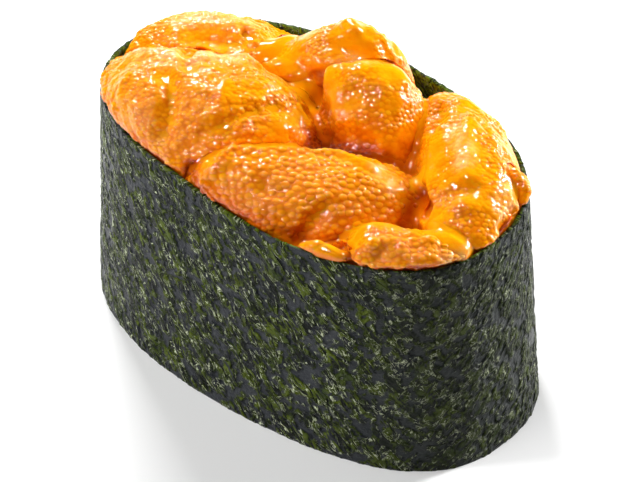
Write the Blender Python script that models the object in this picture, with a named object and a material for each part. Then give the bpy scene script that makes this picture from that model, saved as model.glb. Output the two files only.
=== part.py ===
"""Sea urchin gunkan sushi: an oval nori band round a rice bed, heaped with lobes of sea urchin roe.

The base stands on z = 0 with the origin at its middle. +X runs along the oval and +Z is up.
Named lengths are in millimetres, and MM turns them into Blender's metres.
"""

import math

import bpy
from mathutils import Vector, noise

MM = 0.001
GAP = 0.3  # between any two solids that would touch
CUTTER_GAP = 0.345  # how far a cutter is grown: its flat faces round a curve, so a little more than the gap

# The nori band is a strip as wide as BAND_HEIGHT, wrapped round the rice until its ends overlap.
BAND_HEIGHT = 30.2
BAND_THICKNESS = 0.35
# Half length, half width and exponent of the superellipse, at the top and at the base.
RIM_OVAL = (27.4, 16.4, 2.35)
BASE_OVAL = (28.6, 17.1, 2.44)
# The paper-thin sheet isn't a true oval. Each wave is (crests a turn, height, phase in degrees).
RIM_WAVES = ((2, 0.25, 99.0), (3, 0.62, -142.0), (4, 0.32, 63.0), (5, 0.23, -139.0))
BASE_WAVES = ((2, 0.17, 61.0), (3, 0.18, -53.0), (4, 0.20, 9.0))
SEAM_ANGLE = 99.0  # where the strip starts, in degrees round from +X
OVERLAP_ANGLE = 17.0  # how far it runs on past its own start
LIFT_ANGLE = 12.0  # the turn in which it climbs onto its own start
BAND_STEPS = 96
BAND_ROWS = 2
TANGENT_ANGLE = 0.5  # half the span, in degrees, over which the outline's direction is measured

# The rice bed fills the band from the base to RICE_TOP.
RICE_TOP = 20.0
RICE_ROUNDING = 2.4
RICE_UNEVEN = 0.5  # depth of its hollows, and below it their size
RICE_UNEVEN_SPAN = 4.0
RICE_STEPS = 48
RICE_ROWS = 10

# Each sea urchin lobe is a tongue along a spine of (x, y, height above the rim, half width).
# It keeps clear of the lobes that its row names, which lie on or against it.
OVERHANG = 0.15  # how far a lobe may lean out over the rim
HEADROOM = 20.0  # height above the rim that is open to the lobes
LOBES = {
    "urchin_flake": {
        "spine": ((8.6, -16.6, 0.2, 1.6), (11.6, -15.2, 1.5, 2.0), (14.6, -14.6, 1.6, 2.0), (18.0, -13.4, 0.4, 1.6)),
        "under": (),
    },
    "urchin_scrap": {
        "spine": ((18.2, 6.4, 1.0, 2.2), (21.0, 7.6, 2.6, 2.8), (23.6, 7.4, 2.4, 2.8), (26.6, 5.6, 0.6, 2.4)),
        "under": (),
    },
    "urchin_front": {
        "spine": (
            (-8.6, -13.6, 2.4, 3.4),
            (-2.2, -12.2, 4.9, 5.6),
            (4.4, -8.6, 4.4, 7.6),
            (10.6, -3.4, 3.4, 7.2),
            (17.0, 1.0, 1.6, 4.8),
        ),
        "under": ("urchin_flake",),
    },
    "urchin_centre": {
        "spine": ((-1.8, 10.4, 5.0, 4.4), (1.0, 8.0, 7.1, 6.2), (4.4, 4.6, 5.4, 6.9), (8.4, 0.8, 1.2, 5.6)),
        "under": ("urchin_front",),
    },
    "urchin_front_left": {
        "spine": (
            (-28.6, -4.6, 1.6, 5.0),
            (-20.6, -6.0, 5.4, 8.6),
            (-12.5, -6.2, 6.5, 10.2),
            (-4.6, -3.6, 6.0, 9.2),
            (2.4, -1.2, 2.2, 5.0),
        ),
        "under": ("urchin_front", "urchin_centre"),
    },
    "urchin_rear": {
        "spine": ((-15.2, 5.6, 2.2, 4.0), (-9.6, 7.8, 4.2, 5.4), (-4.0, 11.2, 7.7, 5.0), (3.4, 12.2, 6.8, 3.8)),
        "under": ("urchin_centre", "urchin_front_left"),
    },
    "urchin_right": {
        "spine": (
            (4.2, 13.8, 2.8, 4.2),
            (10.6, 11.8, 4.6, 5.6),
            (16.6, 7.2, 4.8, 6.6),
            (20.6, 2.4, 4.4, 6.8),
            (23.2, -2.4, 3.2, 5.8),
            (23.6, -7.4, 1.0, 4.0),
        ),
        "under": ("urchin_scrap", "urchin_front", "urchin_front_right", "urchin_centre", "urchin_rear"),
    },
    "urchin_front_right": {
        "spine": ((11.0, -14.4, 0.8, 3.2), (16.8, -10.8, 3.0, 4.6), (22.4, -7.6, 2.6, 4.6), (28.8, -2.6, 0.9, 3.6)),
        "under": ("urchin_flake", "urchin_front"),
    },
    "urchin_rear_left": {
        "spine": ((-29.4, -2.6, 1.2, 4.8), (-23.0, 3.0, 2.9, 6.4), (-16.4, 7.2, 2.8, 6.6), (-9.4, 10.4, 2.0, 4.6)),
        "under": ("urchin_front_left", "urchin_rear"),
    },
}
GIRTH_SHARE = 0.4  # the widest level of a lobe, as a share of its height above the bed
TIP_POWER = 3.0  # how blunt a lobe's ends are
TOP_POWER = 2.2  # how full its cross-section is above the widest level
FOOT_POWER = 5.0  # and below it
FOOT_SPREAD = 1.5  # how much wider a lobe is at its foot, where it has sagged into the next one
LOBE_SECTIONS = 14
LOBE_AROUND = 22
HEADING_SHARE = 0.01  # how far ahead and behind a lobe's direction is measured, as a share of its spine
LOBE_UNEVEN = 0.5  # height of its lumps, and below it their size
LOBE_UNEVEN_SPAN = 4.5


def material(name, colour, roughness):
    """A plain Principled surface."""
    made = bpy.data.materials.new(name)
    made.use_nodes = True
    shader = made.node_tree.nodes["Principled BSDF"]
    shader.inputs["Base Color"].default_value = (*colour, 1.0)
    shader.inputs["Roughness"].default_value = roughness
    shader.inputs["Metallic"].default_value = 0.0
    return made


def add_object(name, points, faces, surface):
    """A smooth-shaded object from points in millimetres."""
    mesh = bpy.data.meshes.new(name)
    mesh.from_pydata([Vector(p) * MM for p in points], [], faces)
    mesh.validate()
    mesh.shade_smooth()
    mesh.materials.append(surface)
    made = bpy.data.objects.new(name, mesh)
    bpy.context.scene.collection.objects.link(made)
    return made


def grid_faces(rows, columns):
    """Quads of a grid whose point (row, column) has index row * columns + column, closed round the columns."""
    faces = []
    for row in range(rows - 1):
        for column in range(columns):
            near = row * columns + column
            beside = row * columns + (column + 1) % columns
            faces.append((near, beside, beside + columns, near + columns))
    return faces


def smooth_step(value):
    value = min(1.0, max(0.0, value))
    return value * value * (3 - 2 * value)


def oval_radius(angle, oval, waves):
    """Distance from the axis to a wavy superellipse, at an angle in radians."""
    half_length, half_width, power = oval
    along = abs(math.cos(angle) / half_length) ** power
    across = abs(math.sin(angle) / half_width) ** power
    plain = (along + across) ** (-1 / power)
    return plain + sum(height * math.cos(count * angle - math.radians(crest)) for count, height, crest in waves)


def band_outline(angle, level, outward=0.0):
    """A point of the band's outer face, at a level from 0 at the base to 1 at the rim, moved outward."""

    def plain(at):
        base = oval_radius(at, BASE_OVAL, BASE_WAVES)
        rim = oval_radius(at, RIM_OVAL, RIM_WAVES)
        radius = base + (rim - base) * level
        return Vector((radius * math.cos(at), radius * math.sin(at)))

    step = math.radians(TANGENT_ANGLE)
    along = (plain(angle + step) - plain(angle - step)).normalized()
    return plain(angle) + outward * Vector((along.y, -along.x))


def nori_band(surface):
    """The strip: its outer and inner faces, its two cut edges and its two ends, as one closed solid."""
    points = []
    turn = 360.0 + OVERLAP_ANGLE
    for step in range(BAND_STEPS + 1):
        travelled = turn * step / BAND_STEPS
        angle = math.radians(SEAM_ANGLE + travelled)
        climb = smooth_step((travelled - (360.0 - LIFT_ANGLE)) / LIFT_ANGLE)
        outer = climb * (BAND_THICKNESS + GAP / 2)
        for row in range(BAND_ROWS + 1):
            level = row / BAND_ROWS
            x, y = band_outline(angle, level, outer)
            points.append((x, y, level * BAND_HEIGHT))
        for row in reversed(range(BAND_ROWS + 1)):
            level = row / BAND_ROWS
            x, y = band_outline(angle, level, outer - BAND_THICKNESS)
            points.append((x, y, level * BAND_HEIGHT))
    ring = 2 * (BAND_ROWS + 1)
    faces = [face[::-1] for face in grid_faces(BAND_STEPS + 1, ring)]
    last = BAND_STEPS * ring
    for row in range(BAND_ROWS):
        near = (row, row + 1, ring - 2 - row, ring - 1 - row)
        faces.append(near)
        faces.append(tuple(last + index for index in reversed(near)))
    return add_object("nori_band", points, faces, surface)


def rice_bed(surface):
    """A pressed oval of rice with rounded edges and an uneven side, flat below."""
    points = []
    for row in range(RICE_ROWS + 1):
        height = RICE_TOP * row / RICE_ROWS
        short = max(0.0, 1 - min(height, RICE_TOP - height) / RICE_ROUNDING)
        inset = RICE_ROUNDING * (1 - math.sqrt(1 - short * short))
        for step in range(RICE_STEPS):
            angle = 2 * math.pi * step / RICE_STEPS
            inward = BAND_THICKNESS + GAP + inset
            x, y = band_outline(angle, height / BAND_HEIGHT, -inward)
            lump = noise.noise(Vector((x, y, height)) / RICE_UNEVEN_SPAN)
            share = 1 - RICE_UNEVEN * (0.5 + 0.5 * lump) / math.hypot(x, y)
            points.append((x * share, y * share, height))
    faces = grid_faces(RICE_ROWS + 1, RICE_STEPS)
    faces.append(tuple(reversed(range(RICE_STEPS))))
    faces.append(tuple(RICE_ROWS * RICE_STEPS + step for step in range(RICE_STEPS)))
    return add_object("rice_bed", points, faces, surface)


def spine_at(spine, share):
    """(x, y, height above the rim, half width) on a smooth curve through the spine, at a share of its way."""
    last = len(spine) - 1
    span = min(int(share * last), last - 1)
    t = share * last - span
    before, start, end, after = (spine[min(max(span + k, 0), last)] for k in (-1, 0, 1, 2))
    return [
        0.5 * (2 * b + (c - a) * t + (2 * a - 5 * b + 4 * c - d) * t * t + (3 * b - a - 3 * c + d) * t**3)
        for a, b, c, d in zip(before, start, end, after, strict=True)
    ]


def rounded(turn, power):
    """Cosine and sine of a turn in radians, pushed out towards a square by the power of a superellipse."""
    return [math.copysign(abs(value) ** (2 / power), value) for value in (math.cos(turn), math.sin(turn))]


def lobe_section(spine, share):
    """A ring of points round the tongue at a share of its length, shrunk towards its two tips."""
    x, y, top, half_width = spine_at(spine, share)
    ahead = spine_at(spine, min(share + HEADING_SHARE, 1.0))
    behind = spine_at(spine, max(share - HEADING_SHARE, 0.0))
    forward = Vector((ahead[0] - behind[0], ahead[1] - behind[1], 0)).normalized()
    sideways = Vector((-forward.y, forward.x, 0))
    crest = BAND_HEIGHT + top
    girth = RICE_TOP + GIRTH_SHARE * (crest - RICE_TOP)
    shrink = (1 - abs(2 * share - 1) ** TIP_POWER) ** (1 / TIP_POWER)
    middle = Vector((x, y, girth))
    ring = []
    for step in range(LOBE_AROUND):
        turn = 2 * math.pi * step / LOBE_AROUND
        upper = math.sin(turn) > 0
        across, rise = rounded(turn, TOP_POWER if upper else FOOT_POWER)
        depth = crest - girth if upper else girth - RICE_TOP
        spread = half_width + FOOT_SPREAD * max(0.0, -rise)
        arm = shrink * (sideways * spread * across + Vector((0, 0, depth * rise)))
        lump = noise.noise((middle + arm) / LOBE_UNEVEN_SPAN)
        ring.append(middle + arm + arm.normalized() * LOBE_UNEVEN * lump * shrink)
    return ring


def tongue(name, spine, surface):
    """A whole lobe before its neighbours shape it."""
    shares = [(1 - math.cos(math.pi * step / LOBE_SECTIONS)) / 2 for step in range(1, LOBE_SECTIONS)]
    points = [point for share in shares for point in lobe_section(spine, share)]
    faces = grid_faces(len(shares), LOBE_AROUND)
    for end, row, order in ((0, 0, -1), (1, len(shares) - 1, 1)):
        x, y, top, _ = spine_at(spine, end)
        tip = len(points)
        points.append(Vector((x, y, RICE_TOP + GIRTH_SHARE * (BAND_HEIGHT + top - RICE_TOP))))
        for column in range(LOBE_AROUND):
            pair = [row * LOBE_AROUND + column, row * LOBE_AROUND + (column + 1) % LOBE_AROUND]
            faces.append((tip, *pair[::order]))
    return add_object(name, points, faces, surface)


def helper(obj):
    """Keeps a cutter out of the model."""
    obj.hide_render = True
    obj.display_type = "WIRE"
    return obj


def grown(lobe):
    """A copy of a lobe that stands off from it by the gap."""
    copy = lobe.copy()
    copy.name = lobe.name + "_room"
    copy.data = lobe.data.copy()
    normals = [vertex.normal.copy() for vertex in copy.data.vertices]
    for vertex, normal in zip(copy.data.vertices, normals, strict=True):
        vertex.co += normal * CUTTER_GAP * MM
    bpy.context.scene.collection.objects.link(copy)
    return helper(copy)


def space_for_lobes(surface):
    """The room over the rice: inside the band up to its rim, and a little wider above it."""
    inside = -(BAND_THICKNESS + GAP)
    rings = (
        (RICE_TOP + GAP, inside),
        (BAND_HEIGHT + GAP, inside),
        (BAND_HEIGHT + GAP, OVERHANG),
        (BAND_HEIGHT + HEADROOM, OVERHANG),
    )
    points = []
    for height, outward in rings:
        for step in range(BAND_STEPS):
            x, y = band_outline(2 * math.pi * step / BAND_STEPS, min(1.0, height / BAND_HEIGHT), outward)
            points.append((x, y, height))
    faces = grid_faces(len(rings), BAND_STEPS)
    faces.append(tuple(reversed(range(BAND_STEPS))))
    faces.append(tuple((len(rings) - 1) * BAND_STEPS + step for step in range(BAND_STEPS)))
    return helper(add_object("space_for_lobes", points, faces, surface))


def cut(obj, name, operation, other):
    modifier = obj.modifiers.new(name, "BOOLEAN")
    modifier.operation = operation
    modifier.object = other


def sea_urchin(surface):
    """All the lobes, each shaped by the band, the rice and the lobes that lie on it."""
    space = space_for_lobes(surface)
    whole = {name: tongue(name, row["spine"], surface) for name, row in LOBES.items()}
    rooms = {name: grown(lobe) for name, lobe in whole.items()}
    for name, row in LOBES.items():
        cut(whole[name], "inside_band", "INTERSECT", space)
        for other in row["under"]:
            cut(whole[name], "clear_of_" + other, "DIFFERENCE", rooms[other])


def main():
    for old in list(bpy.data.objects):
        bpy.data.objects.remove(old)
    nori_band(material("nori", (0.018, 0.028, 0.012), 0.42))
    rice_bed(material("rice", (0.86, 0.84, 0.78), 0.5))
    sea_urchin(material("sea_urchin", (0.85, 0.36, 0.02), 0.35))


main()
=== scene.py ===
"""The looks of the sea urchin gunkan sushi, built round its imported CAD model.

Lengths are in millimetres, and MM turns them into metres. +X runs along the oval and +Z is up.
"""

import itertools
import math

import bmesh
import bpy
import numpy as np
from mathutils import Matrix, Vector, kdtree
from mathutils.bvhtree import BVHTree


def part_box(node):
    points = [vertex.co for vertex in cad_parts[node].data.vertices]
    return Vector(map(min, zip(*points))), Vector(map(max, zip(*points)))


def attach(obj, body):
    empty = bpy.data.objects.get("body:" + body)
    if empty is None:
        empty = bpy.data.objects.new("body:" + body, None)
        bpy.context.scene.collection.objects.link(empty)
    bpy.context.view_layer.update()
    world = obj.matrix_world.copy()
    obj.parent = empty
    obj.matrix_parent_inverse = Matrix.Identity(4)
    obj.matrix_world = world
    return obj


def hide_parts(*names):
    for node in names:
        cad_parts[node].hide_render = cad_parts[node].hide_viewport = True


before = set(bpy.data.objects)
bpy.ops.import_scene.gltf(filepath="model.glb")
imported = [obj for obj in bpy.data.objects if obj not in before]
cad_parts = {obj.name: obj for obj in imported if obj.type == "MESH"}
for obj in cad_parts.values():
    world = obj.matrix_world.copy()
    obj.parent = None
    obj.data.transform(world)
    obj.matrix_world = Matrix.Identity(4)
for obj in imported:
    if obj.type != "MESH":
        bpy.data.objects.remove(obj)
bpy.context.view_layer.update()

MM = 0.001

# The camera looks at AIM from VIEW_DISTANCE away.
AIM = (0.41, -0.22, 14.63)
VIEW_AZIMUTH = 40.4
VIEW_ELEVATION = 42.4
VIEW_DISTANCE = 900.0
LENS = 433.3
SENSOR_WIDTH = 36.0

# Share of the white world's light that falls on the scene.
WORLD_LIGHT = 0.06

# Sea urchin: the mesh step before the exposed side is split once more, how far each lobe swells to
# close the gap to its neighbours, and lumps as (size, height).
ROE_STEP = 0.18
SWELL = 0.10
LUMPS = ((4.5, 0.25), (1.9, 0.14))
HIDDEN_DEPTH = 8.0

# Beads of each lobe, as (spacing, height) of the fine ones and of the coarse ones under them, and how
# evenly they cover the lobe.
BEADS = {
    "urchin_front_left": (((0.46, 0.22), (1.20, 0.40)), 0.5),
    "urchin_rear_left": (((0.44, 0.22), (1.05, 0.32)), 0.6),
    "urchin_rear": (((0.46, 0.20), (0.90, 0.20)), 0.3),
    "urchin_centre": (((0.52, 0.20), (0.90, 0.12)), 0.3),
    "urchin_front": (((0.64, 0.38), (1.60, 0.12)), 0.95),
    "urchin_right": (((0.52, 0.20), (1.30, 0.26)), 0.4),
    "urchin_front_right": (((0.58, 0.30), (1.50, 0.45)), 0.7),
    "urchin_flake": (((0.56, 0.08), (1.50, 0.30)), 0.5),
    "urchin_scrap": (((0.48, 0.14), (1.10, 0.24)), 0.5),
}
# Height of the surface that the beads are raised from, and of the juice between them, as shares of a
# bead's own height.
BEAD_LEVEL = 0.8
BEAD_GAP = 0.45
# Beads are a little longer along this direction.
BEAD_AXIS = (0.76, 0.65, 0.0)
BEAD_STRETCH = 1.3

# Folds, ridges and hollows pressed into each lobe, as (height, reach, points of the stroke).
STROKES = {
    "urchin_front_left": (
        (0.5, 2.0, ((-23, -5.5, 33.5), (-20, -5, 35), (-16.5, -4.5, 36.5), (-15, -2.5, 36))),
        (0.9, 3.5, ((-12.5, 1.5, 34.5),)),
        (-1.0, 1.5, ((-17.5, -2.5, 35), (-17, -3.5, 35.5), (-15, -5.5, 36.5))),
        (-0.8, 1.8, ((-16.5, -8, 36.5), (-14.5, -9, 36), (-13, -11, 35.5), (-12, -14, 33.5))),
        (-0.6, 1.2, ((-7.5, -11.5, 34.5), (-6, -9, 35.5), (-5, -6.5, 35.5), (-4, -3, 35))),
        (0.5, 0.9, ((-5, -8.5, 35.5), (-4.5, -7.5, 35.5))),
        (-0.4, 2.6, ((-6, -10, 35), (-7.5, -13, 33))),
        (-0.8, 1.5, ((-7, -14.5, 31),)),
        (0.5, 4.0, ((-20, -11, 34), (-16, -12, 35))),
        (0.6, 5.0, ((-11.5, -7, 36.5), (-7.5, -3, 36))),
        (0.5, 2.5, ((-2.5, -5.5, 34.5), (-1, -4, 33))),
        (0.35, 0.9, ((-6.5, 0.5, 34.5), (-2.5, 0, 33.5), (0, -1, 31.5))),
    ),
    "urchin_rear_left": (
        (-0.4, 12.0, ((-21, 5, 34),)),
        (-1.2, 4.5, ((-15, 10.5, 32),)),
        (-1.2, 3.0, ((-20.5, 2.5, 33), (-18, 4, 33), (-17, 5, 33))),
        (0.5, 0.8, ((-18.5, 6.5, 33), (-17, 6, 33), (-15, 6, 32.5))),
        (-0.7, 0.9, ((-17, 7, 33), (-15.5, 6.5, 33))),
    ),
    "urchin_rear": (
        (0.8, 1.6, ((-5, 11.5, 37.5), (-4, 11, 37.5))),
        (-0.8, 2.6, ((-5, 8, 36.5), (-3, 8.5, 36.5), (-1, 9, 36.5))),
        (0.3, 1.2, ((-2.5, 12.5, 37), (-0.5, 13, 36.5), (1, 13, 35.5))),
        (-1.0, 3.0, ((-11.5, 6, 33), (-8, 5.5, 33.5), (-6, 5, 32), (-5, 5, 29.5))),
        (-1.0, 3.5, ((1.5, 12.5, 35.5), (4.5, 12, 33))),
    ),
    "urchin_centre": (
        (1.8, 2.8, ((-3, 6, 34.5),)),
        (-1.0, 2.6, ((-1, 2, 32), (0.5, 0.5, 31))),
        (0.5, 2.4, ((3, 10, 35.5), (4.5, 9.5, 35.5))),
        (-0.4, 2.5, ((1.5, 4.5, 34.5), (4.5, 6, 34.5))),
        (-1.0, 2.5, ((3.5, 0.5, 32), (6, 1.5, 31.8))),
    ),
    "urchin_front": (
        (0.5, 1.1, ((-3, -11.5, 34.5), (0.5, -9, 34.5), (4, -5.5, 34), (6, -3.5, 33.5), (10, -2.5, 33))),
        (0.6, 1.3, ((-3, -11.5, 34.5), (-3, -14, 34), (-4, -15.5, 32))),
        (-0.7, 1.5, ((10, -10.5, 32.5), (9.5, -12.5, 31.5), (9, -13.5, 29.5))),
        (-0.5, 1.8, ((3, -13.5, 34), (5.5, -12.5, 34))),
        (-0.5, 1.6, ((15, -2.5, 31), (16, -3, 30))),
        (1.2, 2.5, ((12.5, -12.5, 31), (15, -12, 31.5))),
    ),
    "urchin_right": (
        (-0.9, 2.0, ((11, 7.5, 33.5), (9.5, 10, 33.5))),
        (0.6, 2.0, ((14.5, 10, 34.5), (16.5, 7, 35), (18.5, 4.5, 34.5), (20.5, 2.5, 34.5))),
        (-1.6, 1.8, ((15.5, 0, 30.5), (17.5, -2, 31))),
        (-0.5, 1.8, ((19.5, -2, 32.5), (20.5, 0, 34), (21.5, 1.5, 34))),
        (0.3, 1.6, ((22, -1, 33.5), (23.5, 0, 33.5))),
        (-0.7, 1.6, ((26.5, 1.5, 31), (26, 4, 31))),
    ),
    "urchin_front_right": (
        (-2.0, 3.0, ((12, -12.5, 30.5), (14.5, -12, 32))),
        (0.5, 1.8, ((18, -12, 32.5),)),
        (0.5, 1.6, ((20.5, -10, 32.5),)),
        (0.5, 1.6, ((22.5, -7, 32.5),)),
        (-0.4, 1.5, ((19.5, -12, 32), (21.5, -9, 32))),
    ),
    "urchin_flake": ((-0.5, 0.8, ((13.5, -15.5, 31.5),)),),
    "urchin_scrap": ((0.5, 1.5, ((23, 8, 33), (25, 7.5, 32))),),
}

# Places without beads, as (reach, points).
SMOOTH_PLACES = (
    (3.5, ((-20.5, 2.5, 33), (-17, 5, 33))),
    (3.5, ((-11.5, 6, 33), (-6, 5, 32))),
    (3.0, ((-4.5, 8.5, 36.5), (-2, 10, 36.5))),
    (3.2, ((0, 3, 33.5), (-2, 6, 34.5), (3, 8.5, 36))),
    (2.0, ((-2, -5, 34), (-2, 0, 33))),
    (2.5, ((5, -3, 33.5), (10, -2.5, 33), (14, -2, 32))),
    (3.0, ((13.5, 3.5, 33), (15, 1.5, 32.5))),
    (2.0, ((16.5, 7, 35), (20.5, 2.5, 34.5))),
)

# Juice that fills the creases between the lobes, and where it lies thicker, as (height, reach, points).
JUICE_STEP = 0.45
JUICE_RELAX = 14
JUICE_RISE = -0.3
JUICE_LIFT = 0.3
POOLS = (
    (0.3, 2.5, ((13.5, 2.5, 31.5), (15.5, -1.5, 31), (16.5, -3, 30))),
    (1.0, 2.2, ((18, -4, 31), (20, -4.5, 32), (22.5, -4.8, 32), (26, -4.5, 31))),
    (0.6, 2.0, ((14.5, -11.5, 31.5), (15.5, -9, 32), (17.5, -5.5, 31.3))),
    (1.6, 3.0, ((-6, 4.5, 30), (-4.5, 4.5, 28.5), (-3.5, 2.5, 28.5))),
    (0.3, 1.8, ((4, -1.5, 31), (8, 1.5, 30.5), (10.5, 4, 30))),
    (0.8, 2.0, ((13, -15, 31), (15.5, -14.5, 31))),
    (0.9, 2.2, ((-12.8, 12.5, 30.5), (-13, 9.5, 31.5), (-13.3, 6.5, 32.5), (-13.5, 4, 33))),
)
# Painted light and shade: places painted lighter or darker than the open sky over them makes them, as
# (amount, reach, points).
SHADES = (
    (0.6, 3.2, ((-6, 4.5, 31), (-4.5, 4.5, 29), (-4, 2.5, 29))),
    (-0.8, 3.0, ((0, -1.5, 30.5), (1.7, -0.8, 30.5), (4.1, -0.8, 30.5), (8, 1.5, 30))),
    (-0.35, 2.2, ((-7, -14, 31.5), (-3, -16, 31), (3.2, -16, 31), (9, -14, 30))),
    (-0.4, 2.0, ((15.5, -0.5, 31), (16.2, -3.3, 30))),
)

# Painted sheen: pale cream painted where the wet lobes catch the light, as (amount, reach, points).
PAINTED_SHEENS = (
    (1.0, 1.8, ((14.5, 7.3, 34.8), (17.8, 5.1, 34.8), (18.7, 3.5, 34.6))),
    (0.9, 2.0, ((10.5, -1.7, 32.8), (12.5, -2.5, 32.5))),
    (0.7, 1.8, ((25.2, 2.6, 32.4), (24.2, 4.9, 33.0))),
    (0.8, 1.6, ((26.1, -5.9, 31.2), (25.3, -7.6, 30.8))),
    (0.7, 2.6, ((-22, -6, 34.5), (-19, -6, 35.9), (-15.8, -4.0, 36.8), (-12.1, 1, 35.3))),
    (0.7, 3.0, ((-24.2, 4.5, 32.5), (-21.6, 7, 33.1), (-18, 9, 33.3))),
    (0.6, 1.6, ((-4.4, 6.8, 32.8), (-2.6, 8.5, 35), (0.3, 8.6, 36.9))),
)

# Nori strip. Angles are in degrees round the oval from +X, and the strip starts at SEAM_ANGLE.
NORI_STEP = 0.24
NORI_INNER_STEP = 0.8
NORI_THICKNESS = 0.35
SEAM_ANGLE = 99.0
OVERLAP_ANGLE = 17.0
LIFT_ANGLE = 12.0
LEAN_ANGLES = (300.0, 370.0)

# Rice grains, over a core that is CORE_INSET smaller than the solid bed.
GRAIN_LENGTH = 5.6
GRAIN_WIDTH = 2.5
GRAIN_SPACING = 2.5
CORE_INSET = 1.25


# ---------------------------------------------------------------- arrays and noise


def read_points(mesh):
    flat = np.empty(len(mesh.vertices) * 3, np.float32)
    mesh.vertices.foreach_get("co", flat)
    return flat.reshape(-1, 3).astype(float) / MM


def write_points(mesh, points):
    mesh.vertices.foreach_set("co", (points * MM).astype(np.float32).ravel())
    mesh.update()


def read_normals(mesh):
    flat = np.empty(len(mesh.vertices) * 3, np.float32)
    mesh.vertex_normals.foreach_get("vector", flat)
    return flat.reshape(-1, 3).astype(float)


def read_edges(mesh):
    flat = np.empty(len(mesh.edges) * 2, np.int32)
    mesh.edges.foreach_get("vertices", flat)
    return flat.reshape(-1, 2)


def read_attribute(mesh, name):
    values = np.empty(len(mesh.vertices), np.float32)
    mesh.attributes[name].data.foreach_get("value", values)
    return values.astype(float)


def add_attribute(mesh, name, values):
    attribute = mesh.attributes.new(name, "FLOAT", "POINT")
    attribute.data.foreach_set("value", values.astype(np.float32))


def smooth_step(value, low=0.0, high=1.0):
    value = np.clip((value - low) / (high - low), 0, 1)
    return value * value * (3 - 2 * value)


def gradient_noise(points, seed=0):
    """Smooth noise of about -1 to 1 at an (n, 3) array of points, with cells one unit wide."""
    cell = np.floor(points).astype(np.int64)
    local = points - cell
    fade = local**3 * (local * (local * 6 - 15) + 10)
    total = np.zeros(len(points))
    for corner in itertools.product((0, 1), repeat=3):
        grid = cell + corner
        mixed = (grid[:, 0] * 73856093) ^ (grid[:, 1] * 19349663) ^ (grid[:, 2] * 83492791) ^ (seed * 7919)
        mixed = (mixed ^ (mixed >> 15)) * 2246822519 & 0xFFFFFFFF
        mixed = (mixed ^ (mixed >> 13)) * 3266489917 & 0xFFFFFFFF
        slope = np.stack([(mixed >> shift & 1023) / 511.5 - 1 for shift in (0, 10, 20)], axis=1)
        weight = np.prod(np.where(corner, fade, 1 - fade), axis=1)
        total += weight * ((local - corner) * slope).sum(axis=1)
    return total * 1.6


def relax(points, edges, passes, share=0.5):
    """Points moved towards the mean of their neighbours."""
    count = np.maximum(np.bincount(edges.ravel(), minlength=len(points)), 1)
    for _ in range(passes):
        moved = np.empty_like(points)
        for axis in range(points.shape[1]):
            column = points[:, axis]
            total = np.bincount(edges[:, 0], column[edges[:, 1]], len(points))
            total += np.bincount(edges[:, 1], column[edges[:, 0]], len(points))
            moved[:, axis] = total / count
        points = points + (moved - points) * share
    return points


def closeness(points, path, reach):
    """One on a path, falling smoothly to zero at reach from it."""
    path = np.array(path, float)
    distance = np.linalg.norm(points - path[0], axis=1)
    for start, end in zip(path[:-1], path[1:]):
        run = end - start
        share = np.clip((points - start) @ run / (run @ run), 0, 1)
        distance = np.minimum(distance, np.linalg.norm(points - start - share[:, None] * run, axis=1))
    return smooth_step(1 - distance / reach)


# ---------------------------------------------------------------- pieces


def faces_of(mesh):
    return [tuple(face.vertices) for face in mesh.polygons]


def add_object(name, mesh):
    made = bpy.data.objects.new(name, mesh)
    bpy.context.scene.collection.objects.link(made)
    return made


def even_mesh(made, step):
    """An even mesh of the object's outer shape."""
    modifier = made.modifiers.new("voxels", "REMESH")
    modifier.mode = "VOXEL"
    modifier.voxel_size = step * MM
    even = bpy.data.meshes.new_from_object(made.evaluated_get(bpy.context.evaluated_depsgraph_get()))
    made.modifiers.clear()
    made.data = even
    even.materials.clear()


def even_copy(name, node, step):
    """A new object with the CAD node's shape on an even mesh."""
    made = add_object(name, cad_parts[node].data.copy())
    even_mesh(made, step)
    return made


def finish_piece(piece, node, surface):
    piece.data.shade_smooth()
    piece.data.materials.append(surface)
    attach(piece, "root")
    if node:
        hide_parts(node)


# ---------------------------------------------------------------- sea urchin


def sky_directions():
    """Directions spread over the upper half of a sphere, straight up first."""
    directions = [Vector((0, 0, 1))]
    for tilt, count in ((30, 5), (58, 7), (80, 6)):
        flat, up = math.sin(math.radians(tilt)), math.cos(math.radians(tilt))
        for step in range(count):
            turn = math.tau * (step + tilt / 100) / count
            directions.append(Vector((flat * math.cos(turn), flat * math.sin(turn), up)))
    return directions


def openness(mesh, tree, lowest, lift=0.06):
    """For each point of the mesh, raised by lift, the share of the sky it sees."""
    points, normals = read_points(mesh), read_normals(mesh)
    directions = sky_directions()
    seen = np.zeros(len(points))
    for index in np.flatnonzero(points[:, 2] > lowest):
        normal = Vector(normals[index])
        start = Vector(points[index]) + normal * lift
        free = sum(1 for d in directions if d.dot(normal) > 0 and tree.ray_cast(start, d, 60.0)[0] is None)
        seen[index] = free / len(directions) * 1.6
    return relax(np.clip(seen, 0, 1)[:, None], read_edges(mesh), 3)[:, 0]


def point_tree(points):
    tree = kdtree.KDTree(len(points))
    for index, point in enumerate(points):
        tree.insert(point, index)
    tree.balance()
    return tree


def spread_points(points, spacing, seed):
    """Indices of points that are at least their own spacing apart, taken in random order."""
    tree = point_tree(points)
    waiting = np.ones(len(points), bool)
    chosen = []
    for index in np.random.default_rng(seed).permutation(len(points)):
        if waiting[index]:
            chosen.append(index)
            for _, near, _ in tree.find_range(points[index], spacing[index]):
                waiting[near] = False
    return chosen


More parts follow.
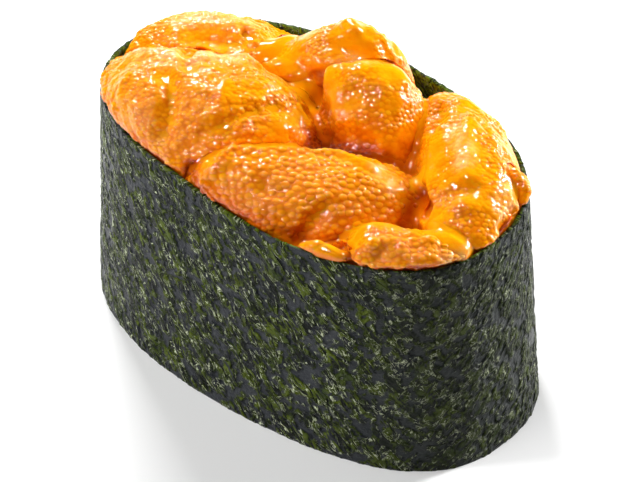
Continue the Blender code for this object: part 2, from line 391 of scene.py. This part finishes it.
def bead_domes(points, spacing, seed):
    """Height, from 0 to about 1, of round beads packed over the points."""
    axis = np.array(BEAD_AXIS)
    points = points - np.outer(points @ axis, axis) * (1 - 1 / BEAD_STRETCH)
    spacing = spacing * (1 + 0.2 * gradient_noise(points / 2.5, seed))
    chosen = spread_points(points, spacing, seed)
    sizes = spacing[chosen]
    tops = np.random.default_rng(seed + 500).uniform(0.7, 1.15, len(chosen))
    tree = point_tree(points[chosen])
    dome = np.zeros(len(points))
    for index, point in enumerate(points):
        _, bead, distance = tree.find(point)
        dome[index] = tops[bead] * math.sqrt(max(0.0, 1 - (distance / (0.72 * sizes[bead])) ** 2))
    return np.maximum(dome, BEAD_GAP)


def subdivide_exposed(mesh, exposed):
    """Splits the edges whose two ends are exposed."""
    work = bmesh.new()
    work.from_mesh(mesh)
    work.verts.ensure_lookup_table()
    edges = [edge for edge in work.edges if exposed[edge.verts[0].index] and exposed[edge.verts[1].index]]
    bmesh.ops.subdivide_edges(work, edges=edges, cuts=1, use_grid_fill=True, smooth=0.0)
    bmesh.ops.triangulate(work, faces=[face for face in work.faces if len(face.verts) > 4])
    work.to_mesh(mesh)
    work.free()


def shape_lobe(node, number, rim):
    """A lobe with its folds and lumps, before its beads."""
    piece = even_copy(node.replace("urchin_", "roe_"), node, ROE_STEP)
    mesh = piece.data
    edges = read_edges(mesh)
    write_points(mesh, relax(read_points(mesh), edges, 14))
    points, normals = read_points(mesh), read_normals(mesh)
    above = smooth_step(points[:, 2], rim - 3.0, rim - 1.0)
    push = SWELL * above
    for height, reach, path in STROKES[node]:
        push += height * closeness(points, path, reach) * above
    points = relax(points + normals * push[:, None], edges, 2)
    write_points(mesh, points)
    normals = read_normals(mesh)
    for lump, (size, height) in enumerate(LUMPS):
        points += normals * (gradient_noise(points / size, 10 * number + lump) * height * above)[:, None]
    write_points(mesh, points)
    return piece


def joined(pieces):
    """Points and faces of several pieces as one."""
    points, faces = [], []
    for piece in pieces:
        start = sum(len(part) for part in points)
        points.append(read_points(piece.data))
        faces += [tuple(start + index for index in face) for face in faces_of(piece.data)]
    return np.concatenate(points), faces


def bead_lobe(piece, node, number, rim):
    """Splits the exposed side of a lobe and raises its beads."""
    mesh = piece.data
    subdivide_exposed(mesh, read_attribute(mesh, "openness") > 0.02)
    points, normals = read_points(mesh), read_normals(mesh)
    seen = read_attribute(mesh, "openness")
    exposed = np.flatnonzero(seen > 0.015)
    strength = smooth_step(seen, 0.0, 0.1) * smooth_step(points[:, 2], rim - 1.5, rim - 0.2)
    layers, evenness = BEADS[node]
    strength *= evenness + (1 - evenness) * smooth_step(gradient_noise(points / 3.0, 60 + number), -0.4, 0.3)
    for reach, path in SMOOTH_PLACES:
        strength *= 1 - 0.95 * closeness(points, path, reach)
    bead = np.full(len(points), 0.5)
    for layer, (spacing, height) in enumerate(layers):
        dome = np.zeros(len(points))
        dome[exposed] = bead_domes(points[exposed], spacing, 20 * number + layer)
        points += normals * ((dome - BEAD_LEVEL) * strength * height)[:, None]
        bead += (dome - BEAD_LEVEL) * strength * (0.4 if layer else 1.0)
    write_points(mesh, points)
    add_attribute(mesh, "bead", bead)
    add_shade(mesh, seen)


def add_shade(mesh, seen):
    """Stores the painted light and shade of each point, from the share of the sky that it sees and the
    places in SHADES, and the painted sheen.
    """
    points = read_points(mesh)
    painted = sum(amount * closeness(points, path, reach) for amount, reach, path in SHADES)
    add_attribute(mesh, "shade", np.clip(seen + painted, 0, 1))
    painted_sheen = sum(amount * closeness(points, path, reach) for amount, reach, path in PAINTED_SHEENS)
    add_attribute(mesh, "painted_sheen", np.clip(painted_sheen, 0, 1))


def build_juice(points, faces, tree, lowest, surface):
    """A smooth skin of liquid that shows only in the creases."""
    mesh = bpy.data.meshes.new("roe_juice")
    mesh.from_pydata((points * MM).tolist(), [], faces)
    piece = add_object("roe_juice", mesh)
    even_mesh(piece, JUICE_STEP)
    mesh = piece.data
    write_points(mesh, relax(read_points(mesh), read_edges(mesh), JUICE_RELAX))
    points = read_points(mesh)
    rise = JUICE_RISE + sum(height * closeness(points, path, reach) for height, reach, path in POOLS)
    write_points(mesh, points + read_normals(mesh) * rise[:, None])
    add_shade(mesh, openness(mesh, tree, lowest, JUICE_LIFT))
    add_attribute(mesh, "bead", np.full(len(mesh.vertices), 0.5))
    finish_piece(piece, None, surface)


def build_urchin(surface):
    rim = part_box("nori_band")[1].z / MM
    lowest = rim - HIDDEN_DEPTH
    pieces = {node: shape_lobe(node, number, rim) for number, node in enumerate(STROKES)}
    points, faces = joined(pieces.values())
    tree = BVHTree.FromPolygons([Vector(point) for point in points], faces)
    for number, (node, piece) in enumerate(pieces.items()):
        add_attribute(piece.data, "openness", openness(piece.data, tree, lowest))
        bead_lobe(piece, node, number, rim)
        finish_piece(piece, node, surface)
    build_juice(points, faces, tree, lowest, surface)


# ---------------------------------------------------------------- nori


def band_radius(tree, angle, height, outside):
    """Distance from the axis to the band's outer or inner face."""
    out = Vector((math.cos(angle), math.sin(angle), 0))
    start = Vector((0, 0, height))
    hit = tree.ray_cast(start + out * 60, -out)[0] if outside else tree.ray_cast(start, out)[0]
    return (hit - start).length


def trace_band(angles, levels):
    """Radius of the strip's outer face at each angle and level."""
    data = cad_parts["nori_band"].data
    tree = BVHTree.FromPolygons([vertex.co / MM for vertex in data.vertices], faces_of(data))
    radii = np.zeros((len(angles), len(levels)))
    lifted = math.radians(SEAM_ANGLE + 360 - LIFT_ANGLE)
    for row, angle in enumerate(angles):
        for column, level in enumerate(levels):
            if angle > lifted:
                radii[row, column] = band_radius(tree, angle, level, True)
            else:
                radii[row, column] = band_radius(tree, angle, level, False) + NORI_THICKNESS
    for _ in range(30):
        radii[1:-1] = radii[1:-1] * 0.5 + (radii[2:] + radii[:-2]) * 0.25
    return radii


def through_levels(levels, radii, height):
    """Radius at a height, on the parabola through three levels."""
    total = 0
    for index, level in enumerate(levels):
        others = [other for other in levels if other != level]
        share = math.prod((height - other) / (level - other) for other in others)
        total = total + radii[:, index] * share
    return total


def turned(points, degrees, stretch):
    """Sheet coordinates turned by an angle and shrunk by stretch along the turned first axis."""
    angle = math.radians(degrees)
    along = points[:, 0] * math.cos(angle) + points[:, 1] * math.sin(angle)
    across = points[:, 1] * math.cos(angle) - points[:, 0] * math.sin(angle)
    return np.stack([along / stretch, across, points[:, 2]], axis=1)


def crinkled(points):
    """One where the sheet is crinkled and zero where it is smooth."""
    cover = gradient_noise(turned(points, -50, 1.8) / 1.7, 22) + 0.8 * gradient_noise(points / 0.75, 23)
    return smooth_step(cover, -0.40, 0.10)


def lean_right(angles):
    """Zero where the fibres lean left and one where they lean right."""
    return smooth_step(np.degrees(angles), *LEAN_ANGLES)


def nori_relief(points, lean):
    """Height of the sheet's waves and crinkles."""
    height = 0.10 * gradient_noise(points / 7.0, 21)
    rough = crinkled(points)
    for seed, degrees, share in ((31, -62, 1 - lean), (32, -38, 1 - lean), (33, 50, lean), (34, 15, lean)):
        fibres = 1 - 2.6 * np.abs(gradient_noise(turned(points, degrees, 3.0) / 0.75, seed))
        height = height + 0.085 * np.maximum(fibres, 0) * rough * share
    return height


def strip_sections(angles, heights, levels, radii, inward):
    """Points of one face of the strip, as (along, up, xyz)."""
    rows = []
    for height in heights:
        radius = through_levels(levels, radii, height) - inward
        level = np.full(len(angles), height)
        rows.append(np.stack([radius * np.cos(angles), radius * np.sin(angles), level], axis=1))
    return np.stack(rows, axis=1)


def build_nori(surface):
    low, high = (corner.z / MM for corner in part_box("nori_band"))
    levels = (low + 0.05, (low + high) / 2, high - 0.05)
    coarse = np.radians(SEAM_ANGLE + np.linspace(0, 360 + OVERLAP_ANGLE, 720))
    traced = trace_band(coarse, levels)
    middle = traced[:, 1, None] * np.stack([np.cos(coarse), np.sin(coarse)], axis=1)
    length = np.concatenate([[0], np.cumsum(np.linalg.norm(np.diff(middle, axis=0), axis=1))])
    along = np.linspace(0, length[-1], int(length[-1] / NORI_STEP) + 1)
    angles = np.interp(along, length, coarse)
    radii = np.stack([np.interp(along, length, traced[:, level]) for level in range(3)], axis=1)

    outer_heights = np.linspace(low, high, int((high - low) / NORI_STEP) + 1)
    inner_heights = np.linspace(high, low, int((high - low) / NORI_INNER_STEP) + 1)
    heights = np.concatenate([outer_heights, inner_heights])
    outer = strip_sections(angles, outer_heights, levels, radii, 0.0)
    inner = strip_sections(angles, inner_heights, levels, radii, NORI_THICKNESS)
    points = np.concatenate([outer, inner], axis=1)

    sheet = np.zeros((len(along), len(heights), 3))
    sheet[:, :, 0] = along[:, None]
    sheet[:, :, 1] = heights[None, :]
    lean = np.repeat(lean_right(angles), len(heights))
    flat = sheet.reshape(-1, 3)
    relief = nori_relief(flat, lean).reshape(sheet.shape[:2])
    share = np.concatenate([np.ones(len(outer_heights)), np.full(len(inner_heights), -0.5)])
    out = np.stack([np.cos(angles), np.sin(angles), np.zeros(len(angles))], axis=1)
    points += out[:, None, :] * (relief * share)[:, :, None]

    torn = np.stack([along, along * 0, along * 0], axis=1)
    ragged = 0.14 * gradient_noise(torn / 0.7, 3) + 0.14 * gradient_noise(torn / 4.0, 4) - 0.12
    points[:, :, 2] += ragged[:, None] * smooth_step(heights, high - 2.0, high)

    mesh = strip_mesh(points)
    add_uv(mesh, flat[:, :2])
    add_attribute(mesh, "crinkle", crinkled(flat))
    add_attribute(mesh, "lean", lean)
    # Mask for the painted light on the inner face near the rim.
    rim = smooth_step(heights, high - 6.0, high) * np.where(share < 0, 1, 0)
    add_attribute(mesh, "inner_rim_light", np.tile(rim, len(along)))
    finish_piece(add_object("nori_sheet", mesh), "nori_band", surface)


def strip_mesh(points):
    """A closed strip from an array of sections, each a ring round the sheet's two faces."""
    steps, ring = points.shape[:2]
    faces = []
    for step, place in itertools.product(range(steps - 1), range(ring)):
        first, second = step * ring, (step + 1) * ring
        after = (place + 1) % ring
        faces.append((first + place, second + place, second + after, first + after))
    faces.append(tuple(range(ring)))
    faces.append(tuple(range(steps * ring - 1, (steps - 1) * ring - 1, -1)))
    mesh = bpy.data.meshes.new("nori_sheet")
    mesh.from_pydata((points.reshape(-1, 3) * MM).tolist(), [], faces)
    mesh.update()
    return mesh


def add_uv(mesh, coordinates):
    """A UV map with the sheet's own coordinates, in millimetres."""
    index = np.empty(len(mesh.loops), np.int32)
    mesh.loops.foreach_get("vertex_index", index)
    mesh.uv_layers.new(name="sheet").data.foreach_set("uv", coordinates[index].astype(np.float32).ravel())


# ---------------------------------------------------------------- rice


def grain_shape(rings=9, around=8):
    """Points and faces of one grain along X, one unit long and wide, with a slight bend."""
    points, faces = [], []
    for ring in range(rings):
        place = math.pi * (ring + 0.35) / (rings - 0.3)
        girth = math.sin(place) ** 0.75 / 2
        for step in range(around):
            turn = math.tau * step / around
            bend = 0.12 * math.sin(place)
            side, up = girth * math.cos(turn) + bend, girth * math.sin(turn) * 0.85
            points.append((-math.cos(place) / 2, side, up))
    for ring, step in itertools.product(range(rings - 1), range(around)):
        after = (step + 1) % around
        corners = (ring * around + step, ring * around + after, (ring + 1) * around + after)
        faces.append((*corners, (ring + 1) * around + step))
    faces.append(tuple(range(around))[::-1])
    faces.append(tuple(range((rings - 1) * around, rings * around)))
    return np.array(points), faces


def tangent_frames(normals, rng):
    """For each normal, a random direction along the surface and the one square to both."""
    random = rng.normal(size=normals.shape)
    along = random - normals * (random * normals).sum(axis=1)[:, None]
    along /= np.linalg.norm(along, axis=1)[:, None]
    along += normals * rng.normal(0, 0.12, len(normals))[:, None]
    along /= np.linalg.norm(along, axis=1)[:, None]
    across = np.cross(normals, along)
    return along, across, np.cross(along, across)


def build_rice(surface):
    rng = np.random.default_rng(7)
    core = even_copy("rice_core", "rice_bed", 0.9)
    mesh = core.data
    write_points(mesh, read_points(mesh) - read_normals(mesh) * CORE_INSET)
    points, normals = read_points(mesh), read_normals(mesh)
    chosen = spread_points(points, np.full(len(points), GRAIN_SPACING), 7)
    along, across, up = tangent_frames(normals[chosen], rng)
    shape, shape_faces = grain_shape()
    lengths = GRAIN_LENGTH * rng.uniform(0.85, 1.1, len(chosen))
    widths = GRAIN_WIDTH * rng.uniform(0.9, 1.05, len(chosen))
    grains = points[chosen][:, None, :] + (
        shape[None, :, 0:1] * (lengths[:, None] * along)[:, None, :]
        + shape[None, :, 1:2] * (widths[:, None] * across)[:, None, :]
        + shape[None, :, 2:3] * (widths[:, None] * up)[:, None, :]
    )
    grains = grains.reshape(-1, 3)
    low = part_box("rice_bed")[0].z / MM
    grains[:, 2] = np.maximum(grains[:, 2], low + 0.02)
    faces = [
        tuple(number * len(shape) + index for index in face)
        for number in range(len(chosen))
        for face in shape_faces
    ]
    grain_mesh = bpy.data.meshes.new("rice_grains")
    grain_mesh.from_pydata((grains * MM).tolist(), [], faces)
    finish_piece(core, "rice_bed", surface)
    finish_piece(add_object("rice_grains", grain_mesh), "rice_bed", surface)


# ---------------------------------------------------------------- materials


class Finish:
    """A material and short calls for the nodes that it is made of."""

    def __init__(self, name):
        self.material = bpy.data.materials.new(name)
        self.material.use_nodes = True
        self.nodes = self.material.node_tree.nodes
        self.links = self.material.node_tree.links
        self.shader = self.nodes["Principled BSDF"]

    def put(self, node, inputs):
        """Gives each named input a value, or links it to another node's output."""
        for name, value in inputs.items():
            if isinstance(value, bpy.types.NodeSocket):
                self.links.new(value, node.inputs[name])
            else:
                node.inputs[name].default_value = value

    def node(self, kind, inputs, **settings):
        made = self.nodes.new("ShaderNode" + kind)
        for name, value in settings.items():
            setattr(made, name, value)
        self.put(made, inputs)
        return made

    def attribute(self, name):
        return self.node("Attribute", {}, attribute_name=name).outputs["Fac"]

    def object_place(self):
        """Position in the object's own frame, in millimetres."""
        place = self.node("TexCoord", {}).outputs["Object"]
        return self.node("Mapping", {"Vector": place, "Scale": (1 / MM, 1 / MM, 1 / MM)}).outputs["Vector"]

    def sheet_place(self, degrees=0.0, size=(1.0, 1.0)):
        """Position on the sheet in cells of a size, turned by an angle."""
        place = self.node("UVMap", {}, uv_map="sheet").outputs["UV"]
        inputs = {"Vector": place, "Rotation": (0, 0, math.radians(degrees)), "Scale": (*size, 1)}
        return self.node("Mapping", inputs, vector_type="TEXTURE").outputs["Vector"]

    def noise(self, place, scale, detail=2.0, distortion=0.0):
        inputs = {"Vector": place, "Scale": scale, "Detail": detail, "Distortion": distortion}
        return self.node("TexNoise", inputs).outputs["Fac"]

    def maths(self, operation, first, second):
        made = self.nodes.new("ShaderNodeMath")
        made.operation = operation
        for socket, value in zip(made.inputs, (first, second)):
            if isinstance(value, bpy.types.NodeSocket):
                self.links.new(value, socket)
            else:
                socket.default_value = value
        return made.outputs["Value"]

    def span(self, value, low, high, to_low=0.0, to_high=1.0):
        """A value carried smoothly from one range to another and held there."""
        inputs = {"Value": value, "From Min": low, "From Max": high, "To Min": to_low, "To Max": to_high}
        return self.node("MapRange", inputs, interpolation_type="SMOOTHSTEP").outputs["Result"]

    def ramp(self, factor, stops):
        made = self.node("ValToRGB", {"Fac": factor})
        elements = made.color_ramp.elements
        while len(elements) < len(stops):
            elements.new(1.0)
        for element, (position, colour) in zip(elements, stops):
            element.position = position
            element.color = (*colour, 1)
        return made.outputs["Color"]

    def mix(self, factor, first, second):
        """Two colours mixed, each a colour or another node's output."""
        made = self.node("Mix", {"Factor": factor}, data_type="RGBA")
        for index, value in ((6, first), (7, second)):
            if isinstance(value, bpy.types.NodeSocket):
                self.links.new(value, made.inputs[index])
            else:
                made.inputs[index].default_value = (*value, 1)
        return made.outputs[2]

    def bump(self, height, strength, distance):
        inputs = {"Height": height, "Strength": strength, "Distance": distance * MM}
        return self.node("Bump", inputs).outputs["Normal"]


def urchin_material():
    finish = Finish("sea_urchin_wet")
    place = finish.object_place()
    shade = finish.attribute("shade")
    bead = finish.attribute("bead")
    # Painted shade: the roe darker and redder where it sees less of the sky, as in the creases between
    # lobes.
    stops = (
        (0.10, (0.20, 0.020, 0.0004)),
        (0.46, (0.42, 0.050, 0.0005)),
        (0.72, (0.80, 0.210, 0.0012)),
        (0.94, (0.92, 0.345, 0.0020)),
    )
    body = finish.ramp(shade, stops)
    # Painted shade in the gaps between the beads and painted light on their tops.
    body = finish.mix(finish.span(bead, 0.15, 0.50, 0.5, 0.0), body, (0.70, 0.115, 0.0006))
    body = finish.mix(finish.span(bead, 0.55, 0.95, 0.0, 0.4), body, (0.98, 0.40, 0.006))
    tint = finish.span(finish.noise(place, 0.45, 3.0), 0.35, 0.7, 0.0, 0.25)
    body = finish.mix(tint, body, (0.80, 0.16, 0.0015))
    # Painted sheen: pale cream at the painted sheen places, broken into patches.
    sheen_patches = finish.span(finish.noise(place, 0.9, 3.0), 0.35, 0.60, 0.15, 0.75)
    painted_sheen = finish.maths("MULTIPLY", finish.attribute("painted_sheen"), sheen_patches)
    body = finish.mix(painted_sheen, body, (0.98, 0.66, 0.26))
    grain = finish.noise(place, 3.2, 4.0)
    finish.put(
        finish.shader,
        {
            "Base Color": body,
            "Roughness": 0.3,
            "IOR": 1.4,
            "Specular IOR Level": 0.0,
            "Subsurface Weight": 0.7,
            "Subsurface Radius": (1.0, 0.45, 0.06),
            "Subsurface Scale": 0.5 * MM,
            "Coat Weight": 1.0,
            "Coat Roughness": 0.03,
            "Coat IOR": 1.45,
            "Normal": finish.bump(grain, 0.15, 0.05),
        },
    )
    return finish.material


def leaning_noise(finish, lean, size, detail):
    """Noise in short streaks that lean left or right, as the lean attribute says."""
    left = finish.noise(finish.sheet_place(-55, size), 1.0, detail, 1.6)
    right = finish.noise(finish.sheet_place(50, size), 1.0, detail, 1.6)
    return finish.node("Mix", {"Factor": lean, "A": left, "B": right}).outputs["Result"]


def nori_material():
    finish = Finish("nori_toasted")
    crinkle = finish.attribute("crinkle")
    lean = finish.attribute("lean")
    fibre = leaning_noise(finish, lean, (3.4, 1.4), 4.0)
    thread = leaning_noise(finish, lean, (2.8, 1.0), 4.0)
    speck = finish.noise(finish.sheet_place(), 2.2, 4.0, 0.4)
    cloud = finish.noise(finish.sheet_place(-50, (4.0, 2.5)), 1.0, 2.0)
    patch = finish.noise(finish.sheet_place(), 0.7, 3.0, 0.6)
    slate = finish.ramp(cloud, ((0.35, (0.022, 0.025, 0.031)), (0.65, (0.042, 0.046, 0.052))))
    leaf = finish.mix(finish.span(cloud, 0.35, 0.65), (0.044, 0.066, 0.010), (0.105, 0.145, 0.010))
    green = finish.maths("MULTIPLY", finish.span(crinkle, 0.1, 0.8), finish.span(fibre, 0.42, 0.50))
    colour = finish.mix(green, slate, leaf)
    # Painted shade: near black in the cracks between the crinkles.
    crack_shade = finish.maths("MULTIPLY", crinkle, finish.span(thread, 0.49, 0.42))
    colour = finish.mix(crack_shade, colour, (0.003, 0.005, 0.002))
    # Thin pale flakes of the sheet, with painted glints where they catch the light.
    edge = finish.maths("ABSOLUTE", finish.maths("SUBTRACT", thread, 0.51), 0.0)
    vein = finish.span(edge, 0.004, 0.022, 1.0, 0.0)
    fleck_and_glint = finish.maths("MULTIPLY", vein, finish.span(patch, 0.44, 0.56))
    fleck_and_glint = finish.maths("MULTIPLY", fleck_and_glint, finish.span(crinkle, 0.0, 0.5))
    colour = finish.mix(fleck_and_glint, colour, (0.86, 0.93, 0.62))
    # Painted shade: the strip darker where the fibres lean right.
    colour = finish.mix(finish.span(lean, 0.0, 0.6, 0.0, 0.55), colour, (0.010, 0.014, 0.007))
    # Painted light: the inner face near the rim greener and brighter, as if lit through the thin sheet.
    rim = finish.maths("MULTIPLY", finish.attribute("inner_rim_light"), finish.span(speck, 0.35, 0.65))
    colour = finish.mix(rim, colour, (0.17, 0.29, 0.012))
    folds = finish.maths("MULTIPLY", finish.maths("ADD", fibre, finish.span(thread, 0.40, 0.60)), crinkle)
    fine = finish.maths("ADD", folds, finish.maths("MULTIPLY", speck, 0.3))
    finish.put(
        finish.shader,
        {
            "Base Color": colour,
            "Roughness": finish.span(crinkle, 0.0, 1.0, 0.30, 0.26),
            "Specular IOR Level": 0.12,
            "Normal": finish.bump(fine, 1.0, 0.6),
        },
    )
    return finish.material


def rice_material():
    finish = Finish("rice_cooked")
    place = finish.object_place()
    cloud = finish.noise(place, 0.5, 3.0)
    finish.put(
        finish.shader,
        {
            "Base Color": finish.ramp(cloud, ((0.3, (0.80, 0.77, 0.68)), (0.7, (0.90, 0.89, 0.84)))),
            "Roughness": 0.35,
            "Subsurface Weight": 0.4,
            "Subsurface Radius": (1.0, 0.9, 0.7),
            "Subsurface Scale": 0.8 * MM,
            "Coat Weight": 0.3,
            "Coat Roughness": 0.2,
            "Normal": finish.bump(finish.noise(place, 1.8, 3.0), 0.25, 0.1),
        },
    )
    return finish.material


def floor_material():
    finish = Finish("pale_floor")
    finish.put(finish.shader, {"Base Color": (0.93, 0.93, 0.93, 1), "Roughness": 0.6})
    return finish.material


# ---------------------------------------------------------------- studio


def from_view(azimuth, elevation, distance):
    """A place at a distance from AIM, at an azimuth and elevation in degrees."""
    around, up = math.radians(azimuth), math.radians(elevation)
    back = Vector((math.sin(around) * math.cos(up), -math.cos(around) * math.cos(up), math.sin(up)))
    return (Vector(AIM) + back * distance) * MM


def point_at_aim(made):
    made.rotation_euler = (Vector(AIM) * MM - made.location).to_track_quat("-Z", "Y").to_euler()


def build_camera():
    data = bpy.data.cameras.new("camera")
    data.lens = LENS
    data.sensor_width = SENSOR_WIDTH
    data.clip_start = 0.05
    data.clip_end = 10.0
    camera = add_object("camera", data)
    camera.location = from_view(VIEW_AZIMUTH, VIEW_ELEVATION, VIEW_DISTANCE)
    point_at_aim(camera)
    bpy.context.scene.camera = camera


def area_light(name, turn, elevation, distance, size, power, mirrored=True, lit=True):
    """A soft box at an angle from the camera's azimuth. It may be only mirrored, or only light things."""
    data = bpy.data.lights.new(name, "AREA")
    data.shape = "RECTANGLE"
    data.size, data.size_y = (side * MM for side in size)
    data.energy = power
    lamp = add_object(name, data)
    lamp.location = from_view(VIEW_AZIMUTH + turn, elevation, distance)
    lamp.visible_glossy = mirrored
    lamp.visible_diffuse = lit
    point_at_aim(lamp)


def build_floor(half=3.0):
    mesh = bpy.data.meshes.new("floor")
    corners = [(-half, -half, 0), (half, -half, 0), (half, half, 0), (-half, half, 0)]
    mesh.from_pydata(corners, [], [(0, 1, 2, 3)])
    mesh.materials.append(floor_material())
    add_object("floor", mesh)


def build_world():
    """A white world that lights the scene only a little."""
    world = bpy.data.worlds.new("studio")
    world.use_nodes = True
    nodes, links = world.node_tree.nodes, world.node_tree.links
    seen = nodes.new("ShaderNodeLightPath").outputs["Is Camera Ray"]
    strength = nodes.new("ShaderNodeMapRange")
    strength.inputs["To Min"].default_value = WORLD_LIGHT
    strength.inputs["To Max"].default_value = 1.0
    links.new(seen, strength.inputs["Value"])
    background = nodes["Background"]
    background.inputs["Color"].default_value = (1, 1, 1, 1)
    links.new(strength.outputs["Result"], background.inputs["Strength"])
    world.cycles_visibility.glossy = False
    bpy.context.scene.world = world


def build_studio():
    build_floor()
    area_light("key", -165, 36, 420, (110, 100), 1.4)
    area_light("left", -80, 25, 420, (50, 110), 0.7)
    area_light("overhead", -70, 70, 450, (220, 220), 1.0, False)
    area_light("sparkle", -50, 62, 420, (60, 60), 0.9, lit=False)
    area_light("front", 0, 50, 450, (300, 300), 0.15, False)
    area_light("rim", 115, 20, 380, (50, 220), 2.3)
    build_world()
    bpy.context.scene.view_settings.view_transform = "Standard"


# ---------------------------------------------------------------- the scene

build_camera()
build_studio()
build_urchin(urchin_material())
build_nori(nori_material())
build_rice(rice_material())
